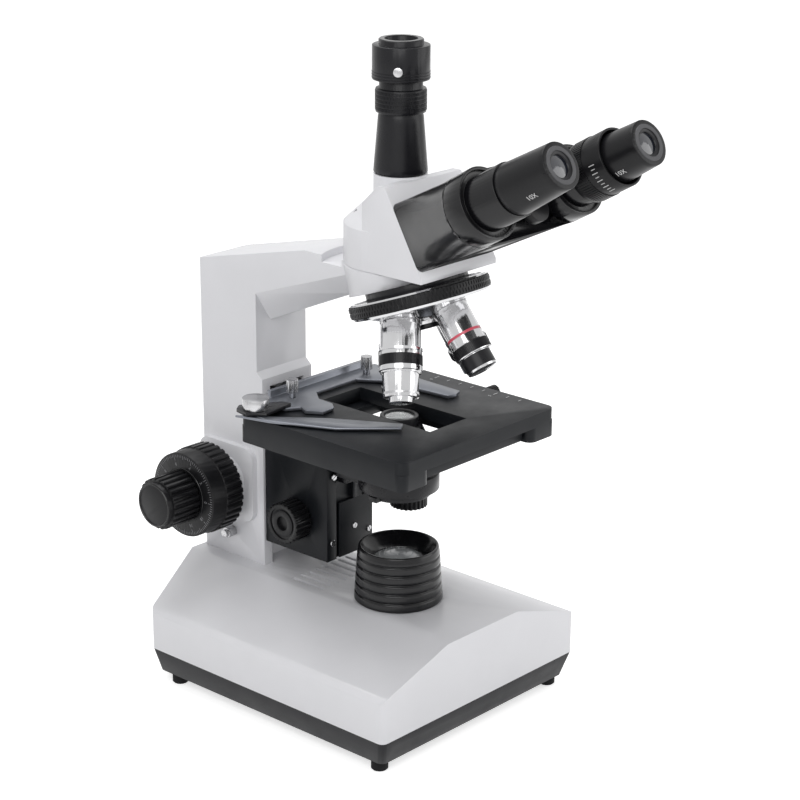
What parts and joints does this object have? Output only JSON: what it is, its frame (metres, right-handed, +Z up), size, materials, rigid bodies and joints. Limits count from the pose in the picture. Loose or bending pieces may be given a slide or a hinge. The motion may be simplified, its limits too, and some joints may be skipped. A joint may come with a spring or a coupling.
{
  "type": "trinocular microscope",
  "caption": "Upright laboratory microscope with inclined binocular tubes, a vertical camera port, a turning nosepiece and a mechanical stage on a lamp base.",
  "frame": {"origin": "middle of the footprint on the table, under the feet", "axes": "+Z up, the eyepieces point to -Y where the user sits, +X to the user's right"},
  "size_m": [0.1728, 0.3008, 0.4016],
  "materials": {
    "white_paint": "smooth satin powder coat",
    "tray_black": "fine satin black paint",
    "black_metal": "satin black anodised",
    "black_plastic": "moulded satin black",
    "rubber": "matte",
    "chrome": "polished",
    "steel": "satin turned",
    "aluminium": "satin",
    "grey_anodised": "grey anodised",
    "brass": "satin",
    "glass": "clear coated lens",
    "frosted": "frosted lens",
    "board": "circuit board"
  },
  "bodies": {
    "stand": {"base_tray": "tray_black", "rubber_feet": "rubber", "base_casing": "white_paint", "base_screws": "steel", "collector_housing": "black_metal", "collector_lens": "frosted", "lamp_module": "aluminium", "power_board": "board", "mains_inlet": "black_plastic", "arm": "white_paint", "dovetail_guide": "black_metal", "nosepiece_mount": "black_metal"},
    "rocker_switch": {"rocker_switch": "black_plastic"},
    "brightness_dial": {"brightness_dial": "black_plastic"},
    "stop_screw": {"stop_screw": "steel"},
    "coarse_focus": {"coarse_knobs": "black_plastic", "coarse_shaft": "brass"},
    "fine_focus": {"fine_knobs": "black_plastic", "fine_shaft": "steel"},
    "stage_carrier": {"stage_carrier": "black_metal", "focus_rack": "brass", "carrier_plate": "black_metal", "stage_bed": "black_metal"},
    "condenser": {"condenser_carriage": "black_metal", "condenser_barrel": "black_metal", "condenser_lens": "glass"},
    "iris": {"iris_ring": "black_metal"},
    "filter": {"filter_holder": "black_metal"},
    "condenser_knob": {"condenser_knob": "black_plastic"},
    "stage_top": {"stage_plate": "black_metal", "drive_column": "black_metal"},
    "y_knob": {"y_knob": "black_plastic"},
    "x_knob": {"x_knob": "black_plastic"},
    "edge_cap": {"edge_cap": "black_plastic"},
    "x_carriage": {"slide_holder": "grey_anodised", "clip_bracket": "black_metal"},
    "left_thumbscrew": {"left_thumbscrew": "steel"},
    "right_thumbscrew": {"right_thumbscrew": "steel"},
    "clip": {"clip_finger": "grey_anodised", "clip_knob": "steel"},
    "nosepiece": {"nosepiece_turret": "chrome", "turret_grip": "black_plastic", "objective_4x": "chrome", "objective_10x": "chrome", "objective_40x": "chrome", "objective_100x": "chrome"},
    "head": {"head_shell": "white_paint", "binocular_housing": "black_plastic", "prism_block": "glass", "photo_tube": "black_metal"},
    "left_ocular": {"left_carrier": "black_plastic"},
    "right_ocular": {"right_carrier": "black_plastic"},
    "ipd_wheel": {"ipd_wheel": "black_plastic"},
    "diopter": {"diopter_ring": "black_plastic"},
    "left_eyepiece": {"left_eyepiece": "black_plastic", "left_eye_lens": "glass"},
    "right_eyepiece": {"right_eyepiece": "black_plastic", "right_eye_lens": "glass"},
    "camera_adapter": {"camera_adapter": "black_metal"},
    "adapter_screw": {"adapter_screw": "steel"}
  },
  "joints": [
    {"name": "focus_slide", "type": "slide", "parent": "stand", "child": "stage_carrier", "axis": [0, 0, 1], "range_m": [-0.013, 0.0075]},
    {"name": "coarse_focus", "type": "hinge", "parent": "stand", "child": "coarse_focus", "pos_m": [0, 0.12285, 0.1157], "axis": [1, 0, 0], "range_deg": [-72, 125]},
    {"name": "fine_focus", "type": "hinge", "parent": "stand", "child": "fine_focus", "pos_m": [0, 0.12285, 0.1157], "axis": [1, 0, 0], "continuous": true},
    {"name": "rocker", "type": "hinge", "parent": "stand", "child": "rocker_switch", "pos_m": [0.0824, 0.05785, 0.035], "axis": [0, 0, 1], "range_deg": [-4, 4]},
    {"name": "brightness", "type": "hinge", "parent": "stand", "child": "brightness_dial", "pos_m": [0.0864, 0.01985, 0.035], "axis": [1, 0, 0], "range_deg": [0, 270]},
    {"name": "stop_lock", "type": "hinge", "parent": "stand", "child": "stop_screw", "pos_m": [-0.024, 0.11985, 0.082], "axis": [1, 0, 0], "range_deg": [0, 180]},
    {"name": "condenser_slide", "type": "slide", "parent": "stage_carrier", "child": "condenser", "axis": [0, 0, 1], "range_m": [-0.012, 0]},
    {"name": "condenser_drive", "type": "hinge", "parent": "stage_carrier", "child": "condenser_knob", "pos_m": [-0.028, 0.06385, 0.1053], "axis": [1, 0, 0], "range_deg": [0, 182]},
    {"name": "iris_lever", "type": "hinge", "parent": "condenser", "child": "iris", "pos_m": [0, -0.00015, 0.1515], "axis": [0, 0, 1], "range_deg": [-20, 20]},
    {"name": "filter_swing", "type": "hinge", "parent": "condenser", "child": "filter", "pos_m": [0.022, -0.00015, 0.135], "axis": [0, 0, 1], "range_deg": [0, 90]},
    {"name": "stage_y", "type": "slide", "parent": "stage_carrier", "child": "stage_top", "axis": [0, 1, 0], "range_m": [-0.025, 0.018]},
    {"name": "y_drive", "type": "hinge", "parent": "stage_top", "child": "y_knob", "pos_m": [0.058, 0.04385, 0.124], "axis": [0, 0, 1], "range_deg": [-151, 109]},
    {"name": "slide_x", "type": "slide", "parent": "stage_top", "child": "x_carriage", "axis": [1, 0, 0], "range_m": [-0.015, 0.015]},
    {"name": "x_drive", "type": "hinge", "parent": "stage_top", "child": "x_knob", "pos_m": [0.058, 0.04385, 0.107], "axis": [0, 0, 1], "range_deg": [-91, 91]},
    {"name": "edge_lock", "type": "hinge", "parent": "stage_top", "child": "edge_cap", "pos_m": [0.07, -0.01015, 0.17985], "axis": [1, 0, 0], "range_deg": [0, 120]},
    {"name": "left_clamp", "type": "hinge", "parent": "x_carriage", "child": "left_thumbscrew", "pos_m": [-0.031, 0.05685, 0.19], "axis": [0, 0, 1], "range_deg": [0, 360]},
    {"name": "right_clamp", "type": "hinge", "parent": "x_carriage", "child": "right_thumbscrew", "pos_m": [0.032, 0.05585, 0.19], "axis": [0, 0, 1], "range_deg": [0, 360]},
    {"name": "clip_swing", "type": "hinge", "parent": "x_carriage", "child": "clip", "pos_m": [-0.064, 0.05385, 0.186], "axis": [0, 0, 1], "range_deg": [-15, 0], "stiffness_Nm_per_rad": 0.05},
    {"name": "nosepiece_turn", "type": "hinge", "parent": "stand", "child": "nosepiece", "pos_m": [0, -0.01551, 0.25581], "axis": [0, 0.342, 0.9397], "continuous": true},
    {"name": "head_turn", "type": "hinge", "parent": "stand", "child": "head", "pos_m": [0, -0.00015, 0.275], "axis": [0, 0, 1], "continuous": true},
    {"name": "left_ipd", "type": "slide", "parent": "head", "child": "left_ocular", "axis": [1, 0, 0], "range_m": [0, 0.0095]},
    {"name": "right_ipd", "type": "slide", "parent": "head", "child": "right_ocular", "axis": [1, 0, 0], "range_m": [-0.0095, 0]},
    {"name": "ipd_turn", "type": "hinge", "parent": "head", "child": "ipd_wheel", "pos_m": [0, -0.09639, 0.32081], "axis": [0, -0.866, 0.5], "range_deg": [0, 91]},
    {"name": "diopter_turn", "type": "hinge", "parent": "right_ocular", "child": "diopter", "pos_m": [0.0375, -0.11787, 0.3436], "axis": [0, -0.866, 0.5], "range_deg": [-90, 90]},
    {"name": "left_eyepiece_lift", "type": "slide", "parent": "left_ocular", "child": "left_eyepiece", "axis": [0, -0.866, 0.5], "range_m": [0, 0.033]},
    {"name": "right_eyepiece_lift", "type": "slide", "parent": "right_ocular", "child": "right_eyepiece", "axis": [0, -0.866, 0.5], "range_m": [0, 0.033]},
    {"name": "adapter_turn", "type": "hinge", "parent": "head", "child": "camera_adapter", "pos_m": [0, -0.00015, 0.385], "axis": [0, 0, 1], "continuous": true},
    {"name": "adapter_clamp", "type": "hinge", "parent": "camera_adapter", "child": "adapter_screw", "pos_m": [-0.0128, -0.00975, 0.386], "axis": [-0.8, -0.6, 0], "range_deg": [0, 360]}
  ],
  "couplings": [
    {"joint": "coarse_focus", "follows": "focus_slide", "rad_per_m": -166.67},
    {"joint": "condenser_drive", "follows": "condenser_slide", "rad_per_m": -263},
    {"joint": "y_drive", "follows": "stage_y", "rad_per_m": 105},
    {"joint": "x_drive", "follows": "slide_x", "rad_per_m": 105},
    {"joint": "right_ipd", "follows": "left_ipd", "ratio": -1},
    {"joint": "ipd_turn", "follows": "left_ipd", "rad_per_m": 166}
  ]
}
